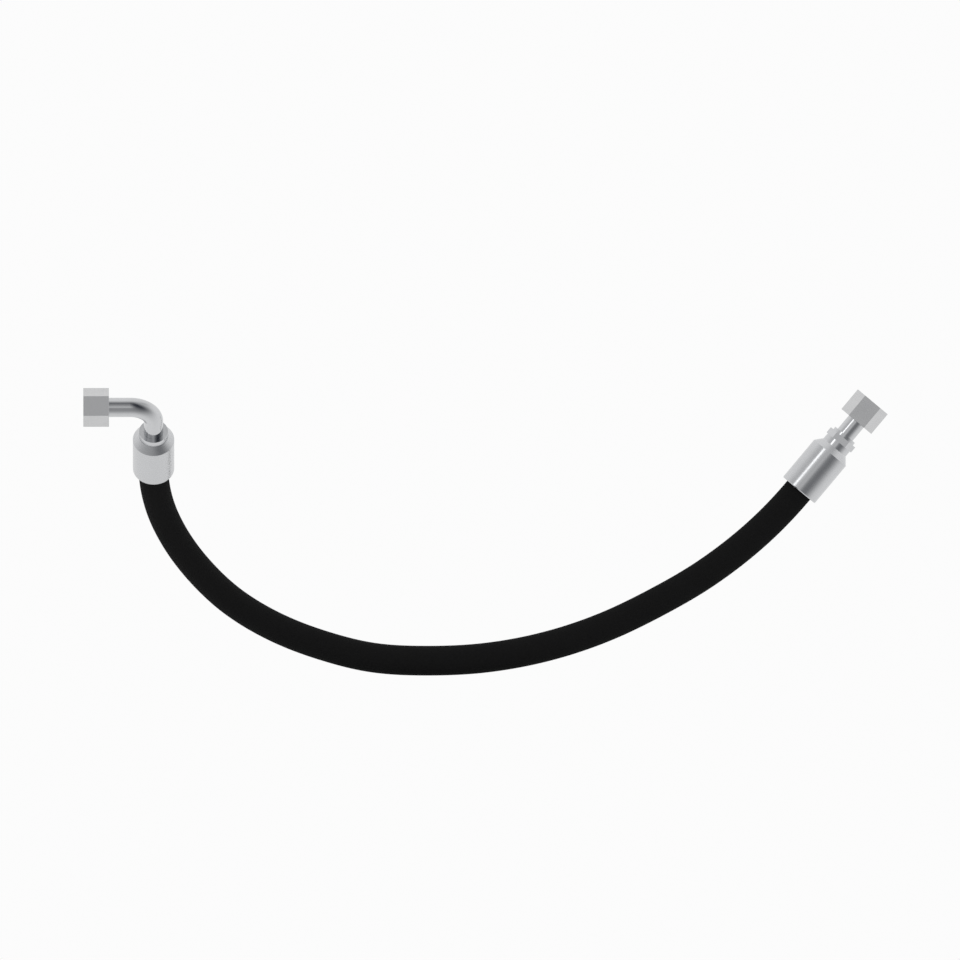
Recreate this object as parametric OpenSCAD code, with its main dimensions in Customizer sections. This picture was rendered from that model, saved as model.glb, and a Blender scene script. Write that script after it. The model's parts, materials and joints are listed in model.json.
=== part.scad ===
// Hydraulic hose assembly: a two-wire-braid rubber hose with a crimped 90 degree swivel
// elbow at one end and a crimped straight swivel at the other, as it hangs between two ports.
// Both swivels are 37 degree flare seats behind a loose nut, held on by a round-wire snap ring.
// The origin is the centre of the elbow nut's mouth. +X runs from that mouth into the
// assembly, +Z is up, and +Y is the way in which the hose leaves the elbow.

/* [Hose] */
// Inside diameter of the hose
hose_bore_d = 12.7; // [12.4:0.1:13]
// Wall of the oil-resistant inner tube
inner_tube_wall = 1.15; // [1:0.05:1.4]
// Thickness of each layer of braided wire
braid_wall = 0.5; // [0.4:0.05:0.7]
// Thickness of the rubber between the two braids
friction_wall = 0.25; // [0.2:0.05:0.5]
// Thickness of the weather-resistant cover
cover_wall = 1; // [0.8:0.05:1.4]

/* [Crimped ferrules] */
// Outside diameter of the crimped ferrule
ferrule_d = 27.1; // [26:0.1:30]
// Length of the ferrule
ferrule_l = 36.4; // [35:0.1:42]
// Diameter of the ferrule's nose, where its taper ends
nose_d = 19.2; // [18:0.1:22]
// Length of the taper behind the nose
nose_taper_l = 4.6; // [3:0.1:6]
// Wall of the insert's rib that fills the hole in the nose, round the elbow tube's socket
rib_wall = 1.08; // [0.98:0.02:1.5]
// Depth of that hole
nose_hole_l = 3; // [2:0.1:4]
// How far the lip that is crimped into the insert's groove stands in from that hole
lip_h = 0.4; // [0.3:0.05:0.5]
// Width of the lip
lip_w = 3; // [2:0.1:4]
// Chamfer round the ferrule's open end
ferrule_edge = 0.5; // [0.2:0.1:1]
// How far the ferrule's teeth bite into the cover
tooth_bite = 0.8; // [0.3:0.05:0.8]
// Distance from one tooth, or one barb, to the next
tooth_pitch = 4; // [3.2:0.1:4.2]
// Distance from the ferrule's open end to its first tooth
tooth_start = 3; // [2:0.1:4]

/* [Barbed inserts] */
// Bore of the inserts, the elbow tube and the straight stem
flow_d = 9.5; // [8.5:0.1:10]
// Radial clearance between the tail and the hose's bore
tail_gap = 0.1; // [0.05:0.05:0.35]
// How far the barbs bite into the inner tube
barb_bite = 0.35; // [0.15:0.05:0.65]
// How far the tail tapers in at its tip
tip_drop = 0.65; // [0.2:0.05:0.8]
// Length of the tail's tapered tip
tip_l = 2; // [1:0.1:2.4]
// How far the tip stays back from the ferrule's open end
tip_back = 1.2; // [0.5:0.1:3]
// Width of the flange that the end of the hose stops against
flange_w = 1.6; // [1:0.1:3]
// Diameter of the collar against the ferrule's nose
collar_d = 18.9; // [17:0.1:19.2]
// Length of the collar
collar_l = 4.4; // [2:0.1:8]

/* [Elbow tube] */
// Outside diameter of the elbow tube and of the straight stem's neck
tube_d = 12.7; // [12:0.1:12.9]
// Radius of the bend, to the middle of the tube
bend_r = 15.2; // [13:0.1:22]
// Distance from the mouth of the elbow nut to the axis of the elbow ferrule
elbow_reach = 46; // [42:0.5:70]
// Distance from the axis of the elbow nut to the nose of the elbow ferrule
elbow_drop = 30.6; // [24:0.1:50]
// Angle between the elbow ferrule's axis and straight up
elbow_tilt = 53.4; // [0:0.1:90]
// Depth of the brazed socket in the elbow's seat head
head_socket_l = 3.8; // [2:0.1:3.9]
// Depth of the brazed socket in the collar of the elbow's insert
insert_socket_l = 6; // [3:0.1:7]

/* [Straight stem] */
// Width across the flats of the stem's spanner hexagon
stem_hex_af = 18; // [17.5:0.5:20]
// Length of that hexagon
stem_hex_l = 4.4; // [3:0.1:10]
// Diameter of the shoulder in front of the hexagon
shoulder_d = 16.8; // [14:0.1:17.4]
// Length of that shoulder
shoulder_l = 2.1; // [1:0.1:5]
// Length of neck that shows behind the nut
neck_l = 11.4; // [8:0.1:30]
// Angle between the straight fitting's axis and the level
straight_rise = 50; // [0:0.5:90]

/* [Swivel nuts] */
// Width across the flats of the nut
nut_af = 22.2; // [22:0.1:27]
// Length of the nut
nut_l = 16.8; // [16:0.1:22]
// Minor diameter of the nut's thread, 3/4-16 UNF
thread_d = 17.34; // [17.2:0.01:17.6]
// Depth of the threaded bore
thread_l = 9; // [8:0.1:9.4]
// Width of the countersink that leads into the thread
countersink = 0.98; // [0.3:0.02:1.4]
// Angle by which the elbow nut is turned about its axis
elbow_nut_roll = -5; // [-30:1:30]
// Wall of the seat head round its brazed socket
head_wall = 1.48; // [1.3:0.01:1.6]
// Width of the flat rim round the flare seat
seat_rim = 0.48; // [0.38:0.02:1.3]
// Half angle of the flare seat
seat_angle = 37; // [30:0.5:45]
// Chamfer at the back of the seat head
head_back = 0.8; // [0.3:0.1:0.8]
// Diameter of the snap ring's wire
ring_wire_d = 1.6; // [1:0.1:1.6]
// Distance from the nut's back face to the snap ring
ring_back = 2.8; // [2.4:0.1:3.5]
// Gap between the snap ring's ends, in degrees
ring_gap_angle = 24; // [10:1:60]
// Chamfer at the back of the nut's bore
nut_back_edge = 0.4; // [0.2:0.1:0.8]

/* [Clearances] */
// Radial clearance between the nut and the seat head
swivel_gap = 0.07; // [0.03:0.01:0.1]
// Clearance between the snap ring and the nut's groove
ring_run_gap = 0.08; // [0.04:0.01:0.1]
// Clearance between pieces that are crimped or snapped together
crimp_gap = 0.02; // [0.01:0.01:0.05]
// Radial clearance in the brazed sockets
braze_gap = 0.05; // [0.02:0.01:0.1]
// Axial clearance between parts that stop against each other
stop_gap = 0.1; // [0.05:0.01:0.2]
// How far the stretches of one piece run into each other where they join
lap = 0.1; // [0.05:0.01:0.3]

/* [Hidden] */
$fn = 96;

plating = [0.78, 0.79, 0.81];
nut_plating = [0.7, 0.72, 0.74];
spring_steel = [0.45, 0.46, 0.48];
brass_wire = [0.66, 0.56, 0.36];
cover_rubber = [0.06, 0.06, 0.06];
inner_rubber = [0.13, 0.13, 0.13];

// Radii of the hose's layers, from the bore outwards
inner_tube_r = hose_bore_d / 2 + inner_tube_wall;
inner_braid_r = inner_tube_r + braid_wall;
friction_r = inner_braid_r + friction_wall;
outer_braid_r = friction_r + braid_wall;
hose_r = outer_braid_r + cover_wall;

// Diameters that fit each other: the tail in the hose, the insert in the ferrule's nose
tail_d = hose_bore_d - 2 * tail_gap;
barb_d = hose_bore_d + 2 * barb_bite;
tip_d = tail_d - 2 * tip_drop;
socket_d = tube_d + 2 * braze_gap;
nose_hole_d = socket_d + 2 * (rib_wall + crimp_gap);
lip_d = nose_hole_d - 2 * lip_h;
rib_r = nose_hole_d / 2 - crimp_gap;
groove_r = lip_d / 2 - crimp_gap;

// Places along a ferrule's axis, from its open end at 0 to its nose
collar_end_z = ferrule_l + collar_l;
rib_z = ferrule_l - nose_hole_l;
lip_z = rib_z - lip_w;
hose_stop_z = lip_z - flange_w;
cavity_r = hose_r + crimp_gap;
flange_r = hose_r - crimp_gap;
nose_taper_z = ferrule_l - nose_taper_l;

// Teeth and barbs are saw-shaped: a slope, a narrow land and a steep back
tooth_slope = 0.35 * tooth_pitch;
tooth_land = 0.2 * tooth_pitch;
tooth_steep = 0.05 * tooth_pitch;
barb_start = tip_back + tip_l + 0.1 * tooth_pitch;

// Seat head that the nut turns on, and places along a nut's axis, from its mouth at 0 inwards
head_d = socket_d + 2 * head_wall;
seat_d = head_d - 2 * seat_rim;
head_z = thread_l + stop_gap;
head_end_z = nut_l - 2 * stop_gap;
ring_z = nut_l - ring_back;
ring_r = head_d / 2 + swivel_gap / 2;
seat_l = (seat_d - flow_d) / 2 / tan(seat_angle);
rear_bore_d = head_d + 2 * swivel_gap;

// Places along the straight fitting, from the ferrule's open end outwards
shoulder_z = collar_end_z + stem_hex_l;
neck_z = shoulder_z + shoulder_l;
straight_l = neck_z + neck_l + nut_l;

// Elbow: the two axes cross at elbow_corner, and the hose leaves at elbow_exit
elbow_corner = [elbow_reach, 0, 0];
elbow_leg = elbow_drop + ferrule_l;
elbow_way = [0, sin(elbow_tilt), -cos(elbow_tilt)];
elbow_exit = elbow_corner + elbow_leg * elbow_way;
straight_way = [cos(straight_rise), 0, sin(straight_rise)];

// Centre line of the free hose, from the elbow ferrule to the straight one
straight_entry = [468.5, 306, -54.5];
hose_sides = 12;
route = [
    elbow_exit,
    [50, 86, -64],
    [61, 116, -87],
    [78, 146, -109],
    [99, 173, -128],
    [126, 199, -144],
    [157, 222, -156],
    [190, 242, -164],
    [226, 259, -166],
    [264, 273, -164],
    [302, 284, -157],
    [339, 293, -145],
    [375, 299, -128],
    [409, 303, -108],
    [441, 305, -83],
    straight_entry
];

// Direction of the hose at each point of its route, square to the ferrules at both ends
function unit(v) = v / norm(v);
function heading(i) =
    i == 0 ? elbow_way
    : i == len(route) - 1 ? straight_way
    : unit(route[i + 1] - route[i - 1]);

// A ring of the hose: points round the route, numbered about a fixed side direction
side_way = unit(cross(elbow_way, straight_way));
flat_factor = sqrt(2 * PI / (hose_sides * sin(360 / hose_sides)));
function ring_points(i, r) =
    let (across = unit(cross(side_way, heading(i))), over = cross(heading(i), across))
    [for (k = [0 : hose_sides - 1])
        route[i] + r * flat_factor
            * (across * cos(360 * k / hose_sides) + over * sin(360 * k / hose_sides))];

// Two triangles between corner k of one ring of points and the same corner of another
function strip(a, b, n) = [
    for (k = [0 : n - 1])
        let (m = (k + 1) % n)
        each [[a + k, b + k, b + m], [a + k, b + m, a + m]]
];

// One layer of the free hose, a tube from radius r1 to radius r2
module swept_layer(r1, r2) {
    rings = len(route);
    n = hose_sides;
    outer = [for (i = [0 : rings - 1]) each ring_points(i, r2)];
    inner = [for (i = [0 : rings - 1]) each ring_points(i, r1)];
    shift = rings * n;
    last = (rings - 1) * n;
    polyhedron(
        concat(outer, inner),
        concat(
            [for (i = [0 : rings - 2]) each strip(i * n, (i + 1) * n, n)],
            [for (i = [0 : rings - 2]) each strip(shift + (i + 1) * n, shift + i * n, n)],
            strip(shift, 0, n),
            strip(last, shift + last, n)
        ),
        convexity = 10
    );
}

// Places its children on the elbow ferrule, open end at 0 and nose upwards
module on_elbow_ferrule() {
    translate(elbow_exit) rotate([elbow_tilt, 0, 0]) children();
}

// Places its children on the straight ferrule, open end at 0 and nose upwards
module on_straight_ferrule() {
    translate(straight_entry) rotate([0, 90 - straight_rise, 0]) children();
}

// Places its children in the elbow nut, mouth at 0 and the tube upwards
module in_elbow_nut() {
    rotate([0, 90, 0]) children();
}

// Places its children in the straight nut, mouth at 0 and the stem upwards
module in_straight_nut() {
    on_straight_ferrule() translate([0, 0, straight_l]) rotate([180, 0, 0]) children();
}

// Outline of one saw tooth from radius r1 to radius r2, starting at z
function saw(z, r1, r2) = [
    [r1, z],
    [r2, z + tooth_slope],
    [r2, z + tooth_slope + tooth_land],
    [r1, z + tooth_slope + tooth_land + tooth_steep]
];

// Outline of the ferrule's teeth up to the hose stop, as bumps on the wall of its cavity
function tooth_outline(cavity, crest) = [
    for (z = [tooth_start : tooth_pitch : hose_stop_z - tooth_pitch]) each saw(z, cavity, crest)
];

// Outline of the insert's tail up to the hose stop, with every radius grown by grow
function tail_outline(grow) = concat(
    [[tip_d / 2 + grow, tip_back], [tail_d / 2 + grow, tip_back + tip_l]],
    [for (z = [barb_start : tooth_pitch : hose_stop_z - tooth_pitch])
        each saw(z, tail_d / 2 + grow, barb_d / 2 + grow)],
    [[tail_d / 2 + grow, hose_stop_z]]
);

// A layer's two ends inside the ferrules, where it lies straight
module straight_ends(r1, r2) {
    for (end = [0, 1])
        if (end == 0) on_elbow_ferrule() gripped_end(r1, r2);
        else on_straight_ferrule() gripped_end(r1, r2);
}

// One end of a layer: the teeth and barbs leave their shape in the rubber that they grip
module gripped_end(r1, r2) {
    rotate_extrude()
        difference() {
            translate([r1, -lap]) square([r2 - r1, hose_stop_z - stop_gap + lap]);
            if (r1 < barb_d / 2)
                polygon(concat([[0, tip_back]], tail_outline(crimp_gap), [[0, hose_stop_z]]));
            if (r2 > hose_r - tooth_bite)
                polygon(concat(
                    [[cavity_r, 0]],
                    tooth_outline(cavity_r, hose_r - tooth_bite - crimp_gap),
                    [[cavity_r, ferrule_l]]
                ));
        }
}

module hose_layer(r1, r2) {
    swept_layer(r1, r2);
    straight_ends(r1, r2);
}

module inner_tube() {
    color(inner_rubber) hose_layer(hose_bore_d / 2, inner_tube_r);
}

module inner_wire_braid() {
    color(brass_wire) hose_layer(inner_tube_r, inner_braid_r);
}

module friction_layer() {
    color(inner_rubber) hose_layer(inner_braid_r, friction_r);
}

module outer_wire_braid() {
    color(brass_wire) hose_layer(friction_r, outer_braid_r);
}

module hose_cover() {
    color(cover_rubber) hose_layer(outer_braid_r, hose_r);
}

// Crimped ferrule: teeth inside, a lip that locks it to the insert and a tapered nose
module ferrule() {
    rotate_extrude()
        polygon(concat(
            [[cavity_r, 0]],
            tooth_outline(cavity_r, hose_r - tooth_bite),
            [
                [cavity_r, lip_z],
                [lip_d / 2, lip_z],
                [lip_d / 2, rib_z],
                [nose_hole_d / 2, rib_z],
                [nose_hole_d / 2, ferrule_l],
                [nose_d / 2, ferrule_l],
                [ferrule_d / 2, nose_taper_z],
                [ferrule_d / 2, ferrule_edge],
                [ferrule_d / 2 - ferrule_edge, 0]
            ]
        ));
}

module elbow_ferrule() {
    color(plating) on_elbow_ferrule() ferrule();
}

module straight_ferrule() {
    color(plating) on_straight_ferrule() ferrule();
}

// Outline of an insert: barbed tail, flange that stops the hose, groove for the ferrule's lip,
// rib that fills the hole in the nose, and collar against the nose
function insert_outline() = concat(
    tail_outline(0),
    [
        [flange_r, hose_stop_z],
        [flange_r, lip_z - crimp_gap],
        [groove_r, lip_z - crimp_gap],
        [groove_r, rib_z + crimp_gap],
        [rib_r, rib_z + crimp_gap],
        [rib_r, ferrule_l + crimp_gap],
        [collar_d / 2, ferrule_l + crimp_gap],
        [collar_d / 2, collar_end_z]
    ]
);

module elbow_insert() {
    color(plating)
        on_elbow_ferrule()
            difference() {
                rotate_extrude()
                    polygon(concat([[0, tip_back]], insert_outline(), [[0, collar_end_z]]));
                cylinder(h = collar_end_z + 1, d = flow_d);
                translate([0, 0, collar_end_z - insert_socket_l])
                    cylinder(h = insert_socket_l + 1, d = socket_d);
            }
}

// Solid rod along the elbow tube's path: a leg to the seat head, a quarter turn round the
// bend and a leg to the insert, each leg longer by over
module bent_rod(d, over) {
    head_leg = elbow_reach - head_end_z + head_socket_l - stop_gap;
    insert_leg = elbow_drop - collar_l + insert_socket_l - stop_gap;
    translate([-head_leg - over, 0, 0])
        rotate([0, 90, 0]) cylinder(h = head_leg - bend_r + over, d = d);
    translate([-bend_r, 0, -bend_r])
        rotate([90, 0, 0]) rotate_extrude(angle = 90) translate([bend_r, 0]) circle(d = d);
    translate([0, 0, -insert_leg - over]) cylinder(h = insert_leg - bend_r + over, d = d);
}

// Bent tube: out of the seat head's socket, round a quarter turn, into the insert's socket
module elbow_tube() {
    color(plating)
        translate(elbow_corner)
            rotate([elbow_tilt, 0, 0])
                difference() {
                    bent_rod(tube_d, 0);
                    bent_rod(flow_d, 1);
                }
}

// Outline of the seat head, from the bottom of its flare seat over its bearing surface to its
// back, with places along a nut's axis
function head_outline() = [
    [flow_d / 2, head_z + seat_l],
    [seat_d / 2, head_z],
    [head_d / 2, head_z],
    [head_d / 2, head_end_z - head_back],
    [head_d / 2 - head_back, head_end_z]
];

// The ring-shaped groove that the snap ring takes up, wider than its wire by gap
module ring_groove(gap) {
    translate([0, 0, ring_z])
        rotate_extrude() translate([ring_r, 0]) circle(r = ring_wire_d / 2 + gap);
}

// Seat head: flare seat in front, groove for the snap ring, socket for the tube behind
module elbow_seat_head() {
    color(plating)
        in_elbow_nut()
            difference() {
                rotate_extrude() polygon(concat(head_outline(), [[flow_d / 2, head_end_z]]));
                ring_groove(crimp_gap);
                translate([0, 0, head_end_z - head_socket_l])
                    cylinder(h = head_socket_l + 1, d = socket_d);
            }
}

// Straight stem, turned in one piece: insert, spanner hexagon, shoulder, neck and seat head
module straight_stem() {
    head = head_outline();
    color(plating)
        on_straight_ferrule()
            difference() {
                union() {
                    rotate_extrude()
                        polygon(concat(
                            [[flow_d / 2, tip_back]],
                            insert_outline(),
                            [
                                [shoulder_d / 2, collar_end_z],
                                [shoulder_d / 2, neck_z],
                                [tube_d / 2, neck_z],
                                [tube_d / 2, straight_l - head_end_z]
                            ],
                            [for (i = [len(head) - 1 : -1 : 0]) [head[i][0], straight_l - head[i][1]]]
                        ));
                    translate([0, 0, collar_end_z]) spanner_hexagon();
                }
                translate([0, 0, straight_l]) rotate([180, 0, 0]) ring_groove(crimp_gap);
            }
}

// Six flats round the stem, open in the middle
module spanner_hexagon() {
    difference() {
        cylinder(h = stem_hex_l, d = stem_hex_af / cos(30), $fn = 6);
        translate([0, 0, -1]) cylinder(h = stem_hex_l + 2, d = tube_d);
    }
}

// Round-wire snap ring, open at one place so that it springs into its groove
module snap_ring() {
    translate([0, 0, ring_z])
        rotate([0, 0, ring_gap_angle / 2])
            rotate_extrude(angle = 360 - ring_gap_angle)
                translate([ring_r, 0]) circle(d = ring_wire_d);
}

module elbow_snap_ring() {
    color(spring_steel) in_elbow_nut() snap_ring();
}

module straight_snap_ring() {
    color(spring_steel) in_straight_nut() snap_ring();
}

// Swivel nut: countersunk threaded bore in front, plain bearing bore with a groove behind
module swivel_nut() {
    thread_r = thread_d / 2;
    mouth_r = thread_r + countersink;
    rear_r = rear_bore_d / 2;
    difference() {
        cylinder(h = nut_l, d = nut_af / cos(30), $fn = 6);
        rotate_extrude()
            polygon([
                [0, -1],
                [mouth_r, -1],
                [mouth_r, 0],
                [thread_r, countersink],
                [thread_r, thread_l],
                [rear_r, thread_l],
                [rear_r, nut_l - nut_back_edge],
                [rear_r + nut_back_edge, nut_l],
                [rear_r + nut_back_edge, nut_l + 1],
                [0, nut_l + 1]
            ]);
        ring_groove(ring_run_gap);
    }
}

module elbow_nut() {
    color(nut_plating) in_elbow_nut() rotate([0, 0, elbow_nut_roll]) swivel_nut();
}

module straight_nut() {
    color(nut_plating) in_straight_nut() swivel_nut();
}

inner_tube();
inner_wire_braid();
friction_layer();
outer_wire_braid();
hose_cover();
elbow_ferrule();
elbow_insert();
elbow_tube();
elbow_seat_head();
elbow_snap_ring();
elbow_nut();
straight_ferrule();
straight_stem();
straight_snap_ring();
straight_nut();
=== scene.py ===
import json
import math

import bmesh
import bpy
from mathutils import Matrix, Vector


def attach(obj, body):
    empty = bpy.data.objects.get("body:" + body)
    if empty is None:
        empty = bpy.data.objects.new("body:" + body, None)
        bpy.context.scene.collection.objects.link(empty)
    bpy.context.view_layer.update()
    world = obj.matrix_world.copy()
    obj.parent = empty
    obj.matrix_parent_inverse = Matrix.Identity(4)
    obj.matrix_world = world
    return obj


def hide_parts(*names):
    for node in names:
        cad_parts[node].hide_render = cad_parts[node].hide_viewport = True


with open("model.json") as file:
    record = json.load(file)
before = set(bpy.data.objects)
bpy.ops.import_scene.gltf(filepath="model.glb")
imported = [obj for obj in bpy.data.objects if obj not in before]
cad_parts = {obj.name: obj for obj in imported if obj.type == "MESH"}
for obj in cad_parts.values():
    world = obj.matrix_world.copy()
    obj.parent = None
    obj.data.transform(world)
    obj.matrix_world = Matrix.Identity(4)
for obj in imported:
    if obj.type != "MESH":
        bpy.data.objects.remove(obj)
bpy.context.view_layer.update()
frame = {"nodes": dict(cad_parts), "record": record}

scene = bpy.context.scene
mounts = {mount["name"]: mount for mount in frame["record"]["mounts"]}


# Camera: square to the plane of the elbow nut and the straight fitting
cameraSettings = {
    "place": (0.25977, -1.4, -0.0477),
    "turn": (90.0, 0.04, 0.0),
    "width": 0.62865,
    "farthest": 20.0,
}
cameraTurn = [math.radians(angle) for angle in cameraSettings["turn"]]
bpy.ops.object.camera_add(location=cameraSettings["place"], rotation=cameraTurn)
camera = bpy.context.object
camera.name = "camera"
camera.data.type = "ORTHO"
camera.data.ortho_scale = cameraSettings["width"]
camera.data.clip_end = cameraSettings["farthest"]
scene.camera = camera
print("camera placed")


# Small helpers for building materials. addNode fills a new node's inputs by their names,
# or by their numbers as i0, i1 and so on, with a value or with another node's output
def startMaterial(name):
    material = bpy.data.materials.new(name)
    material.use_nodes = True
    return material, material.node_tree.nodes["Principled BSDF"]


def addNode(tree, kind, settings=None, **inputs):
    node = tree.nodes.new(kind)
    for key, value in (settings or {}).items():
        setattr(node, key, value)
    for key, value in inputs.items():
        socket = node.inputs[int(key[1:])] if key[1:].isdigit() else node.inputs[key]
        if isinstance(value, bpy.types.NodeSocket):
            tree.links.new(value, socket)
        else:
            socket.default_value = value
    return node


def mathNode(tree, operation, a, b=0.0):
    return addNode(tree, "ShaderNodeMath", {"operation": operation}, i0=a, i1=b).outputs[0]


def rampNode(tree, value, low, high, start=0.0, end=1.0):
    ramp = addNode(tree, "ShaderNodeMapRange", Value=value)
    for key, number in zip(("From Min", "From Max", "To Min", "To Max"), (start, end, low, high)):
        ramp.inputs[key].default_value = number
    return ramp.outputs[0]


def noiseNode(tree, where, scale, detail):
    return addNode(tree, "ShaderNodeTexNoise", Vector=where, Scale=scale, Detail=detail).outputs[0]


def coordinates(tree, kind):
    return addNode(tree, "ShaderNodeTexCoord").outputs[kind]


# How far round a hose layer, in turns, and how far along it, in metres
def roundAndAlong(tree):
    parts = addNode(tree, "ShaderNodeSeparateXYZ", Vector=coordinates(tree, "UV"))
    return parts.outputs[0], parts.outputs[1]


def scaledColor(tree, color, amount):
    return addNode(tree, "ShaderNodeVectorMath", {"operation": "SCALE"}, i0=color, Scale=amount).outputs[0]


def finishMaterial(tree, shader, color, height, depth):
    tree.links.new(color, shader.inputs["Base Color"])
    bump = addNode(tree, "ShaderNodeBump", Height=height, Distance=depth)
    tree.links.new(bump.outputs[0], shader.inputs["Normal"])


# Steel: bright plating over turned or milled metal
steel = {
    "plated_steel": {"color": (0.632, 0.639, 0.652), "rough": (0.16, 0.24)},
    "nut_steel": {"color": (0.643, 0.646, 0.653), "rough": (0.17, 0.26)},
    "spring_steel": {"color": (0.300, 0.300, 0.305), "rough": (0.25, 0.38)},
    "hazeScale": 120.0,
    "hazeDetail": 3.0,
    "lineGap": 0.00022,
    "lineWidth": 0.03,
    "lineDepth": 0.000004,
    "lineDetail": 2.0,
    "share": 0.5,  # how much the tool marks and the haze each add to the unevenness
    "uneven": (0.36, 0.64),  # how far the two together swing
    "unevenColor": 0.04,
}


def steelMaterial(name, slotName, place, way, dull=1.0):
    look = steel[slotName]
    material, shader = startMaterial(name)
    tree = material.node_tree
    shader.inputs["Metallic"].default_value = 1.0
    where = coordinates(tree, "Object")
    turn = (0, 0, 0)
    width = steel["lineGap"]
    if way:  # turning marks run round this way; without one they are alike in every direction
        turn = Vector((0, 0, 1)).rotation_difference(Vector(way)).to_euler()
        width = steel["lineWidth"]
    lines = addNode(
        tree,
        "ShaderNodeMapping",
        {"vector_type": "TEXTURE"},
        Vector=where,
        Location=place,
        Rotation=turn,
        Scale=(width, width, steel["lineGap"]),
    )
    toolMarks = noiseNode(tree, lines.outputs[0], 1.0, steel["lineDetail"])
    haze = noiseNode(tree, where, steel["hazeScale"], steel["hazeDetail"])
    markShare = mathNode(tree, "MULTIPLY", toolMarks, steel["share"])
    hazeShare = mathNode(tree, "MULTIPLY", haze, steel["share"])
    uneven = mathNode(tree, "ADD", markShare, hazeShare)
    swing = steel["unevenColor"]
    brightness = rampNode(tree, uneven, 1 - swing, 1 + swing, *steel["uneven"])
    smooth, rough = (roughness * dull for roughness in look["rough"])
    tree.links.new(rampNode(tree, uneven, smooth, rough, *steel["uneven"]), shader.inputs["Roughness"])
    color = scaledColor(tree, look["color"], brightness)
    finishMaterial(tree, shader, color, toolMarks, steel["lineDepth"])
    return material


# Rubber of the cover, the inner tube and the friction layer
rubber = {
    "coverRubber": {"color": (0.0074, 0.0074, 0.0075), "rough": (0.72, 0.86), "shine": 0.035},
    "innerRubber": {"color": (0.0160, 0.0160, 0.0165), "rough": (0.55, 0.70), "shine": 0.25},
    "grainScale": 700.0,
    "grainDetail": 3.0,
    "mottle": 0.25,
    "weaveTurns": 96.0,  # threads of the wrapping cloth's print, counted round the hose
    "weaveGap": 0.0007,
    "weaveDepth": 0.00003,
    # painted shade and light: the colour of the cloth print's hollows darker and of its crowns lighter, by
    # this share
    "weavePaintedShade": 0.30,
    "tapeGap": 0.046,  # the wrapping tape's edge comes round once in this length
    "tapeEdge": 0.02,
    "tapeDepth": 0.00005,
}


def rubberMaterial(name, printAndPaintedShade):
    look = rubber[name]
    material, shader = startMaterial(name)
    tree = material.node_tree
    shader.inputs["Specular IOR Level"].default_value = look["shine"]
    grain = noiseNode(tree, coordinates(tree, "Object"), rubber["grainScale"], rubber["grainDetail"])
    tree.links.new(rampNode(tree, grain, *look["rough"]), shader.inputs["Roughness"])
    brightness = rampNode(tree, grain, 1 - rubber["mottle"], 1 + rubber["mottle"])
    height = mathNode(tree, "MULTIPLY", grain, rubber["weaveDepth"])
    if printAndPaintedShade:
        around, along = roundAndAlong(tree)
        warp = mathNode(tree, "MULTIPLY", around, rubber["weaveTurns"] * 2 * math.pi)
        weft = mathNode(tree, "MULTIPLY", along, 2 * math.pi / rubber["weaveGap"])
        oneWay = mathNode(tree, "SINE", mathNode(tree, "ADD", warp, weft))
        otherWay = mathNode(tree, "SINE", mathNode(tree, "SUBTRACT", warp, weft))
        weave = mathNode(tree, "MULTIPLY", oneWay, otherWay)
        weaveHeight = mathNode(tree, "MULTIPLY", weave, rubber["weaveDepth"])
        # painted shade and light: the weave darkens the colour in its hollows and lightens it on its crowns
        weavePaintedShade = mathNode(tree, "MULTIPLY", weave, rubber["weavePaintedShade"])
        height = mathNode(tree, "ADD", height, weaveHeight)
        brightness = mathNode(tree, "ADD", brightness, weavePaintedShade)
        tapeTurns = mathNode(tree, "DIVIDE", along, rubber["tapeGap"])
        turn = mathNode(tree, "FRACT", mathNode(tree, "ADD", around, tapeTurns))
        edge = mathNode(tree, "MINIMUM", mathNode(tree, "DIVIDE", turn, rubber["tapeEdge"]), 1.0)
        height = mathNode(tree, "ADD", height, mathNode(tree, "MULTIPLY", edge, rubber["tapeDepth"]))
    finishMaterial(tree, shader, scaledColor(tree, look["color"], brightness), height, 1.0)
    return material


# Braid of brass-coated wire: flat bundles of wires that cross over and under each other
braid = {
    "color": (0.52, 0.40, 0.22),
    "rough": 0.35,
    "bundles": 12.0,  # each way, counted round the hose
    "lead": 0.0367,  # a bundle goes round once in this length
    "wires": 6.0,  # in a bundle
    "wireHeight": 0.5,  # of a wire, where its bundle's crown is 1
    "depth": 0.00008,
    # painted shade: the colour left where the wires and bundles dip lowest
    "gapPaintedShade": 0.35,
}


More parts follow.
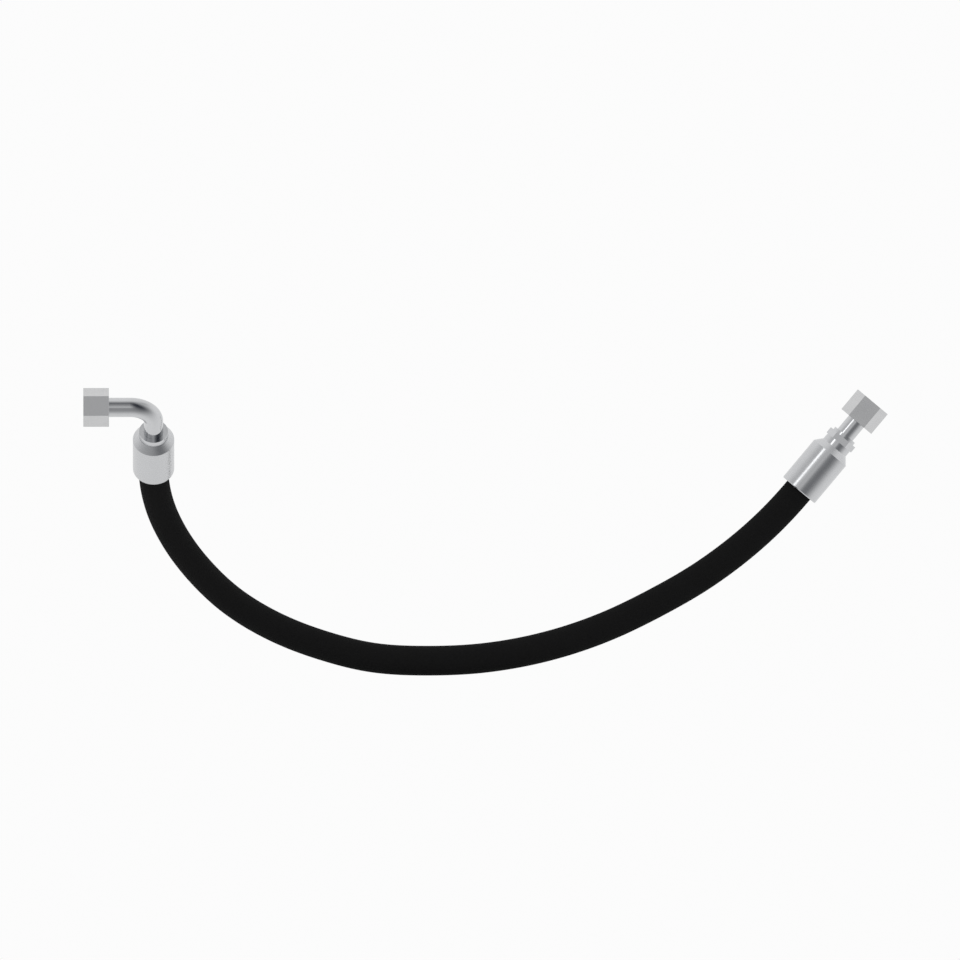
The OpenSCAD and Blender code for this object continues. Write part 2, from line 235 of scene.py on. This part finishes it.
def braidMaterial():
    material, shader = startMaterial("wireBraid")
    tree = material.node_tree
    shader.inputs["Metallic"].default_value = 1.0
    shader.inputs["Roughness"].default_value = braid["rough"]
    around, along = roundAndAlong(tree)
    turns = mathNode(tree, "DIVIDE", along, braid["lead"])
    ways = []
    for operation in ("ADD", "SUBTRACT"):
        spiral = mathNode(tree, operation, around, turns)
        ways.append(mathNode(tree, "MULTIPLY", spiral, braid["bundles"]))
    squares = mathNode(tree, "ADD", mathNode(tree, "FLOOR", ways[0]), mathNode(tree, "FLOOR", ways[1]))
    over = mathNode(tree, "FLOORED_MODULO", squares, 2.0)  # which of the two bundles lies on top
    heights = []
    for way, other in (ways, ways[::-1]):
        wave = mathNode(tree, "SINE", mathNode(tree, "MULTIPLY", way, math.pi * braid["wires"]))
        wires = mathNode(tree, "MULTIPLY", mathNode(tree, "ABSOLUTE", wave), braid["wireHeight"])
        crown = mathNode(tree, "SINE", mathNode(tree, "MULTIPLY", mathNode(tree, "FRACT", other), math.pi))
        heights.append(mathNode(tree, "ADD", wires, crown))
    top = addNode(tree, "ShaderNodeMix", {"data_type": "FLOAT"}, i0=over, i2=heights[0], i3=heights[1])
    height = top.outputs[0]
    # painted shade: the colour darkens where the wires and bundles dip into their gaps
    shade = rampNode(tree, mathNode(tree, "MINIMUM", height, 1.0), braid["gapPaintedShade"], 1.0)
    finishMaterial(tree, shader, scaledColor(tree, braid["color"], shade), height, braid["depth"])
    return material


# Hose, in metres: five layers on one centre line, from stop to stop inside the two ferrules
hose = {
    "elbowWay": (0.0, 0.80282, -0.59622),
    "straightWay": (0.642788, 0.0, 0.766044),
    "gripped": 0.0287,  # how much of each end sits in its ferrule
    "route": [
        (0.0460, 0.053789, -0.039947),
        (0.0500, 0.0860, -0.0640),
        (0.0610, 0.1160, -0.0870),
        (0.0780, 0.1460, -0.1090),
        (0.0990, 0.1730, -0.1280),
        (0.1260, 0.1990, -0.1440),
        (0.1570, 0.2220, -0.1560),
        (0.1900, 0.2420, -0.1640),
        (0.2260, 0.2590, -0.1660),
        (0.2640, 0.2730, -0.1640),
        (0.3020, 0.2840, -0.1570),
        (0.3390, 0.2930, -0.1450),
        (0.3750, 0.2990, -0.1280),
        (0.4090, 0.3030, -0.1080),
        (0.4410, 0.3050, -0.0830),
        (0.4685, 0.3060, -0.0545),
    ],
    "length": 0.659,
    "diameter": 0.0195,
    "ringGap": 0.003,
    "sides": 64,
    "layers": {  # inner and outer radius, and the finish
        "inner_tube": (0.00635, 0.00750, "inner_rubber"),
        "inner_wire_braid": (0.00750, 0.00800, "wire_braid"),
        "friction_layer": (0.00800, 0.00825, "inner_rubber"),
        "outer_wire_braid": (0.00825, 0.00875, "wire_braid"),
        "hose_cover": (0.00875, 0.00975, "cover_rubber"),
    },
    "pressed": {  # which wall the teeth or barbs press, from what depth on and to what radius
        "hose_cover": {"wall": "outer", "start": 0.0030, "radius": 0.00893},
        "inner_tube": {"wall": "inner", "start": 0.0036, "radius": 0.00672},
    },
    "biteCount": 6,
    "bitePitch": 0.004,
    "biteDeep": 0.35,  # share of the pitch at which a bite is at its full depth
    "biteRise": 0.55,  # where it starts to come out again
    "biteEnd": 0.60,
}
elbowExit = Vector(hose["route"][0])
elbowWay = Vector(hose["elbowWay"])
straightExit = Vector(hose["route"][-1])
straightWay = Vector(hose["straightWay"])


def smoothLine(points, startWay, endWay, gap):
    ways = [startWay]
    for before, after in zip(points, points[2:]):
        ways.append((after - before).normalized())
    ways.append(endWay)
    line = []
    for i in range(len(points) - 1):
        a, b = points[i], points[i + 1]
        reach = (b - a).length
        steps = round(reach / gap)
        for k in range(steps):
            t = k / steps
            line.append(
                a * (2 * t**3 - 3 * t**2 + 1)
                + ways[i] * reach * (t**3 - 2 * t**2 + t)
                + b * (3 * t**2 - 2 * t**3)
                + ways[i + 1] * reach * (t**3 - t**2)
            )
    line.append(points[-1])
    return line


# Depths in a ferrule, from its open end inwards, with a layer's inner and outer radius at each
def bitePlaces(name, inner, outer):
    plain = (inner, outer)
    places = [(0.0, plain)]
    if name in hose["pressed"]:
        press = hose["pressed"][name]
        bitten = (inner, press["radius"]) if press["wall"] == "outer" else (press["radius"], outer)
        for i in range(hose["biteCount"]):
            start = press["start"] + i * hose["bitePitch"]
            places += [
                (start, plain),
                (start + hose["biteDeep"] * hose["bitePitch"], bitten),
                (start + hose["biteRise"] * hose["bitePitch"], bitten),
                (start + hose["biteEnd"] * hose["bitePitch"], plain),
            ]
    return places + [(hose["gripped"], plain)]


# One layer: an inner and an outer ring of points at each place along the centre line
def hoseLayer(name):
    inner, outer, slotName = hose["layers"][name]
    bites = bitePlaces(name, inner, outer)
    rings = [(elbowExit - elbowWay * depth, elbowWay, radii) for depth, radii in reversed(bites)]
    for before, here, after in zip(centreLine, centreLine[1:], centreLine[2:]):
        rings.append((here, (after - before).normalized(), (inner, outer)))
    rings += [(straightExit + straightWay * depth, straightWay, radii) for depth, radii in bites]

    shape = bmesh.new()
    uvLayer = shape.loops.layers.uv.new("UVMap")
    count = hose["sides"]
    angles = [2 * math.pi * k / count for k in range(count)]
    side = straightWay.cross(elbowWay).normalized()
    walls = []
    lengths = []
    length = 0.0
    for i, (place, way, radii) in enumerate(rings):
        side = (side - way * side.dot(way)).normalized()
        up = way.cross(side)
        if i:
            length += (place - rings[i - 1][0]).length
        lengths.append(length)
        walls.append([
            [shape.verts.new(place + side * radius * math.cos(a) + up * radius * math.sin(a)) for a in angles]
            for radius in radii
        ])

    # One face from ring a to ring b; across is how many sides it takes on the layer's map
    def addFace(a, b, k, aLength, bLength, across=1):
        m = (k + 1) % count
        made = shape.faces.new([a[k], a[m], b[m], b[k]])
        made.smooth = True
        spots = [(k, aLength), (k + across, aLength), (k + across, bLength), (k, bLength)]
        for loop, (turn, along) in zip(made.loops, spots):
            loop[uvLayer].uv = (turn / count, along)

    for i in range(len(rings) - 1):
        (inA, outA), (inB, outB) = walls[i], walls[i + 1]
        for k in range(count):
            addFace(outA, outB, k, lengths[i], lengths[i + 1])
            addFace(inB, inA, k, lengths[i + 1], lengths[i])
    for (a, b), length in ((walls[0], lengths[0]), (walls[-1][::-1], lengths[-1])):
        for k in range(count):
            addFace(a, b, k, length, length, across=0)
    bmesh.ops.recalc_face_normals(shape, faces=shape.faces)
    mesh = bpy.data.meshes.new(name)
    shape.to_mesh(mesh)
    shape.free()
    piece = bpy.data.objects.new(name + "_smooth", mesh)
    scene.collection.objects.link(piece)
    mesh.materials.append(hoseFinishes[slotName])
    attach(piece, "hose_and_fittings")
    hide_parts(name)
    return piece, [ring[0] for ring in rings]


hoseFinishes = {
    "cover_rubber": rubberMaterial("coverRubber", True),
    "inner_rubber": rubberMaterial("innerRubber", False),
    "wire_braid": braidMaterial(),
}
centreLine = smoothLine([Vector(point) for point in hose["route"]], elbowWay, straightWay, hose["ringGap"])
layerPieces = {}
for layerName in hose["layers"]:
    layerPieces[layerName], hoseLine = hoseLayer(layerName)
hoseCover = layerPieces.pop("hose_cover")  # made last, so hoseLine is the cover's own line
print("hose laid")


# Swivel nut, in metres, with its mouth at the origin and its back up the z axis
nut = {
    "hexSides": 6,
    "acrossFlats": 0.0222,
    "length": 0.0168,
    "edge": 0.00012,
    "edgeSegments": 1,
    "mouthRadius": 0.00965,
    "minorRadius": 0.00867,
    "majorRadius": 0.009525,
    "pitch": 0.0254 / 16,  # sixteen turns to the inch
    "toolRadius": 0.0084,  # the threading tool's profile starts inside the bore
    "threadTurns": 7,
    "threadStop": 0.0082,
    "threadSteps": 48,
    "flankAngle": 30.0,
    "flatShare": 1 / 16,  # half of the flat at the bottom of the thread, as a share of the pitch
    "reliefStart": 0.0077,
    "reliefRadius": 0.0096,
    "boreLength": 0.009,
    "rearRadius": 0.00795,
    "rearEdge": 0.0004,
    "ringPlace": 0.014,
    "ringRadius": 0.007915,
    "grooveRadius": 0.00088,
    "grooveSteps": 12,
    "over": 0.001,  # how far a cutter reaches past the nut
    "sides": 96,
    "weld": 1e-7,  # points this close together become one
    "elbowTurn": 90.0,  # from up the z axis to along the x axis
    "elbowRoll": -5.0,
    "creaseAngle": 25.0,
}


# Draws an outline of (radius, height) points: a small plane is merged to one point and extruded
def drawOutline(name, outline):
    bpy.ops.object.select_all(action="DESELECT")
    bpy.ops.mesh.primitive_plane_add(size=nut["over"])
    piece = bpy.context.object
    piece.name = name
    bpy.ops.object.mode_set(mode="EDIT")
    bpy.ops.mesh.merge(type="CENTER")
    bpy.ops.transform.translate(value=(outline[0][0], 0, outline[0][1]))
    for (r0, z0), (r1, z1) in zip(outline, outline[1:]):
        bpy.ops.mesh.extrude_vertices_move(TRANSFORM_OT_translate={"value": (r1 - r0, 0, z1 - z0)})
    bpy.ops.mesh.select_all(action="SELECT")
    bpy.ops.mesh.remove_doubles(threshold=nut["weld"])
    return piece


# Turns an outline right round the z axis
def turnOutline(name, outline):
    piece = drawOutline(name, outline)
    bpy.ops.mesh.select_all(action="SELECT")
    bpy.ops.mesh.spin(steps=nut["sides"], angle=2 * math.pi, center=(0, 0, 0), axis=(0, 0, 1))
    bpy.ops.mesh.select_all(action="SELECT")
    bpy.ops.mesh.remove_doubles(threshold=nut["weld"])
    bpy.ops.mesh.normals_make_consistent(inside=False)
    bpy.ops.object.mode_set(mode="OBJECT")
    return piece


def cutAway(piece, cutter):
    cut = piece.modifiers.new("cut", "BOOLEAN")
    cut.operation = "DIFFERENCE"
    cut.solver = "EXACT"
    cut.object = cutter
    bpy.ops.object.select_all(action="DESELECT")
    bpy.context.view_layer.objects.active = piece
    piece.select_set(True)
    bpy.ops.object.modifier_apply(modifier=cut.name)
    bpy.data.objects.remove(cutter)


def nutBore():
    sag = nut["rearRadius"] - nut["ringRadius"]
    half = math.acos(sag / nut["grooveRadius"])
    groove = []
    for i in range(nut["grooveSteps"] + 1):
        a = -half + 2 * half * i / nut["grooveSteps"]
        groove.append((
            nut["ringRadius"] + nut["grooveRadius"] * math.cos(a),
            nut["ringPlace"] + nut["grooveRadius"] * math.sin(a),
        ))
    countersink = nut["mouthRadius"] - nut["minorRadius"]
    relief = nut["reliefRadius"] - nut["minorRadius"]
    outline = [
        (0, -nut["over"]),
        (nut["mouthRadius"] + nut["over"], -nut["over"]),
        (nut["minorRadius"], countersink),
        (nut["minorRadius"], nut["reliefStart"] - relief / 2),
        (nut["reliefRadius"], nut["reliefStart"]),
        (nut["reliefRadius"], nut["boreLength"]),
        (nut["rearRadius"], nut["boreLength"]),
        *groove,
        (nut["rearRadius"], nut["length"] - nut["rearEdge"]),
        (nut["rearRadius"] + nut["rearEdge"] + nut["over"], nut["length"] + nut["over"]),
        (0, nut["length"] + nut["over"]),
    ]
    return turnOutline("nutBore", outline)


def threadTool():
    crest = nut["pitch"] * nut["flatShare"]
    foot = crest + (nut["majorRadius"] - nut["toolRadius"]) * math.tan(math.radians(nut["flankAngle"]))
    z = nut["threadStop"] - nut["threadTurns"] * nut["pitch"]
    outline = [
        (nut["toolRadius"], z - foot),
        (nut["majorRadius"], z - crest),
        (nut["majorRadius"], z + crest),
        (nut["toolRadius"], z + foot),
        (nut["toolRadius"], z - foot),
    ]
    tool = drawOutline("threadTool", outline)
    bpy.ops.object.mode_set(mode="OBJECT")
    screw = tool.modifiers.new("screw", "SCREW")
    screw.axis = "Z"
    screw.angle = 2 * math.pi
    screw.screw_offset = nut["pitch"]
    screw.iterations = nut["threadTurns"]
    screw.steps = screw.render_steps = nut["threadSteps"]
    bpy.ops.object.modifier_apply(modifier=screw.name)
    bpy.ops.object.mode_set(mode="EDIT")
    bpy.ops.mesh.select_all(action="SELECT")
    bpy.ops.mesh.remove_doubles(threshold=nut["weld"])
    bpy.ops.mesh.fill_holes(sides=4)  # the tool's two ends have four edges each
    bpy.ops.mesh.select_all(action="SELECT")
    bpy.ops.mesh.normals_make_consistent(inside=False)
    bpy.ops.object.mode_set(mode="OBJECT")
    return tool


def makeNut():
    halfSide = math.pi / nut["hexSides"]
    bpy.ops.object.select_all(action="DESELECT")
    bpy.ops.mesh.primitive_cylinder_add(
        vertices=nut["hexSides"],
        radius=nut["acrossFlats"] / 2 / math.cos(halfSide),
        depth=nut["length"],
        location=(0, 0, nut["length"] / 2),
        rotation=(0, 0, halfSide),
    )
    body = bpy.context.object
    bpy.ops.object.transform_apply(location=True, rotation=True, scale=True)
    bpy.ops.object.mode_set(mode="EDIT")
    bpy.ops.mesh.bevel(offset=nut["edge"], segments=nut["edgeSegments"], affect="EDGES")
    bpy.ops.object.mode_set(mode="OBJECT")
    cutAway(body, nutBore())
    cutAway(body, threadTool())
    bpy.ops.object.shade_smooth_by_angle(angle=math.radians(nut["creaseAngle"]))
    return body


def placeNut(pattern, name, matrix, bodyName, finish):
    piece = bpy.data.objects.new(name, pattern.data.copy())
    scene.collection.objects.link(piece)
    piece.matrix_world = matrix
    bpy.ops.object.select_all(action="DESELECT")
    bpy.context.view_layer.objects.active = piece
    piece.select_set(True)
    bpy.ops.object.transform_apply(location=True, rotation=True, scale=True)
    piece.data.materials.clear()
    piece.data.materials.append(finish)
    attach(piece, bodyName)
    return piece


elbowPort = Vector(mounts["elbow_port"]["pos_m"])
elbowIn = -Vector(mounts["elbow_port"]["axis"])
straightPort = Vector(mounts["straight_port"]["pos_m"])
straightOut = Vector(mounts["straight_port"]["axis"])
straightLean = math.atan2(straightOut.x, straightOut.z)
elbowTurn = Matrix.Rotation(math.radians(nut["elbowTurn"]), 4, "Y")
elbowRoll = Matrix.Rotation(math.radians(nut["elbowRoll"]), 4, "Z")
straightTurn = Matrix.Rotation(straightLean, 4, "Y") @ Matrix.Rotation(math.pi, 4, "X")
nutPattern = makeNut()
elbowNut = placeNut(
    nutPattern,
    "elbow_nut_threaded",
    elbowTurn @ elbowRoll,
    "elbow_swivel",
    steelMaterial("elbow_nut_steel", "nut_steel", elbowPort, elbowIn),
)
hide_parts("elbow_nut")
straightNut = placeNut(
    nutPattern,
    "straight_nut_threaded",
    Matrix.Translation(straightPort) @ straightTurn,
    "straight_swivel",
    steelMaterial("straight_nut_steel", "nut_steel", straightPort, straightOut),
)
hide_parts("straight_nut")
bpy.data.objects.remove(nutPattern)
print("nuts threaded")


# Fittings whose solids keep their shape: each gets its own turned finish about its own axis,
# apart from the bent tube, and the last number makes it duller
fittings = {
    "elbow_ferrule": ("plated_steel", elbowExit, elbowWay, 1.35),
    "elbow_insert": ("plated_steel", elbowExit, elbowWay, 0.6),
    "elbow_tube": ("plated_steel", elbowPort, None, 0.6),
    "elbow_seat_head": ("plated_steel", elbowPort, elbowIn, 1.0),
    "elbow_snap_ring": ("spring_steel", elbowPort, elbowIn, 1.0),
    "straight_ferrule": ("plated_steel", straightPort, straightOut, 1.0),
    "straight_stem": ("plated_steel", straightPort, straightOut, 0.7),
    "straight_snap_ring": ("spring_steel", straightPort, straightOut, 1.0),
}
for nodeName, (slotName, place, way, dull) in fittings.items():
    node = frame["nodes"][nodeName]
    node.material_slots[0].material = steelMaterial(nodeName + "_steel", slotName, place, way, dull)
print("fittings finished")


# Studio: a pale floor and a plain backdrop, with a soft lamp in front and a wide one overhead.
# Reflections see a room instead of the backdrop, dimmer on the camera's side. Each shade of it is
# an azimuth from straight in front, a height and a spread in degrees, and how much it adds.
studio = {
    "middle": (0.26, 0.15),
    "floorHeight": -0.1763,
    "floorSize": 8.0,
    "floorColor": (0.90, 0.90, 0.90, 1.0),
    "floorRough": 0.9,
    "backdrop": 0.972,
    "room": (0.877, 0.877, 0.877),
    "roomDarkest": (0.02, 0.02, 0.02),
    "shadeTint": (1.006, 1.0, 0.986),
    "shades": [
        (-29.0, 2.0, 55.0, -0.48),
        (2.0, 50.0, 26.0, -0.45),
        (78.0, 50.0, 17.0, -0.26),
        (25.0, 28.0, 29.0, -0.39),
        (44.0, -2.0, 35.0, -0.58),
        (21.0, -47.0, 34.0, -0.35),
        (-18.0, 27.0, 19.0, 0.50),
        (-1.0, 3.0, 10.0, 0.31),
    ],
    "lampAim": (0.49, 0.306, -0.03),
    "lampTurn": -31.5,
    "lampHeight": 23.5,
    "lampDistance": 2.4,
    "lampSize": 0.5,
    "lampPower": 0.8,
    "ceilingHeight": 2.0,
    "ceilingSize": 3.0,
    "ceilingPower": 6.0,
}


def direction(azimuth, height):
    a, h = math.radians(azimuth), math.radians(height)
    return Vector((math.sin(a) * math.cos(h), -math.cos(a) * math.cos(h), math.sin(h)))


bpy.ops.object.select_all(action="DESELECT")
floorPlace = (*studio["middle"], studio["floorHeight"])
bpy.ops.mesh.primitive_plane_add(size=studio["floorSize"], location=floorPlace)
floor = bpy.context.object
floor.name = "floor"
floor.visible_glossy = False  # the metal shows the room's light below it too
floorFinish, floorShader = startMaterial("floor_paper")
floorShader.inputs["Base Color"].default_value = studio["floorColor"]
floorShader.inputs["Roughness"].default_value = studio["floorRough"]
floor.data.materials.append(floorFinish)

world = bpy.data.worlds.new("studio")
scene.world = world
world.use_nodes = True
room = world.node_tree
ray = coordinates(room, "Generated")
level = 0.0
for azimuth, height, spread, amount in studio["shades"]:
    aim = direction(azimuth, height)
    facing = addNode(room, "ShaderNodeVectorMath", {"operation": "DOT_PRODUCT"}, i0=ray, i1=aim)
    near = mathNode(room, "MAXIMUM", facing.outputs["Value"], 0.0)
    shade = mathNode(room, "POWER", near, 2 / math.radians(spread) ** 2)
    level = mathNode(room, "ADD", mathNode(room, "MULTIPLY", shade, amount), level)
light = scaledColor(room, studio["shadeTint"], level)
for operation, color in (("ADD", studio["room"]), ("MAXIMUM", studio["roomDarkest"])):
    light = addNode(room, "ShaderNodeVectorMath", {"operation": operation}, i0=light, i1=color).outputs[0]
mirrored = addNode(room, "ShaderNodeLightPath").outputs["Is Glossy Ray"]
plain = [studio["backdrop"]] * 3
seen = addNode(room, "ShaderNodeMix", {"data_type": "VECTOR"}, i0=mirrored, i4=plain, i5=light)
room.links.new(seen.outputs[1], room.nodes["Background"].inputs["Color"])


def softLight(name, place, way, size, power):
    turn = way.to_track_quat("Z", "Y").to_euler()
    bpy.ops.object.light_add(type="AREA", location=place, rotation=turn)
    lamp = bpy.context.object
    lamp.name = name
    lamp.data.shape = "DISK"
    lamp.data.size = size
    lamp.data.energy = power
    lamp.visible_camera = False
    return lamp


lampWay = direction(studio["lampTurn"], studio["lampHeight"])
lampPlace = Vector(studio["lampAim"]) + lampWay * studio["lampDistance"]
softLight("softLamp", lampPlace, lampWay, studio["lampSize"], studio["lampPower"])
ceilingPlace = (*studio["middle"], studio["ceilingHeight"])
upward = Vector((0, 0, 1))  # a soft light shines away from the way that it is given
ceiling = softLight("ceilingLight", ceilingPlace, upward, studio["ceilingSize"], studio["ceilingPower"])
ceiling.visible_glossy = False
scene.view_settings.view_transform = "Standard"
print("studio lit")
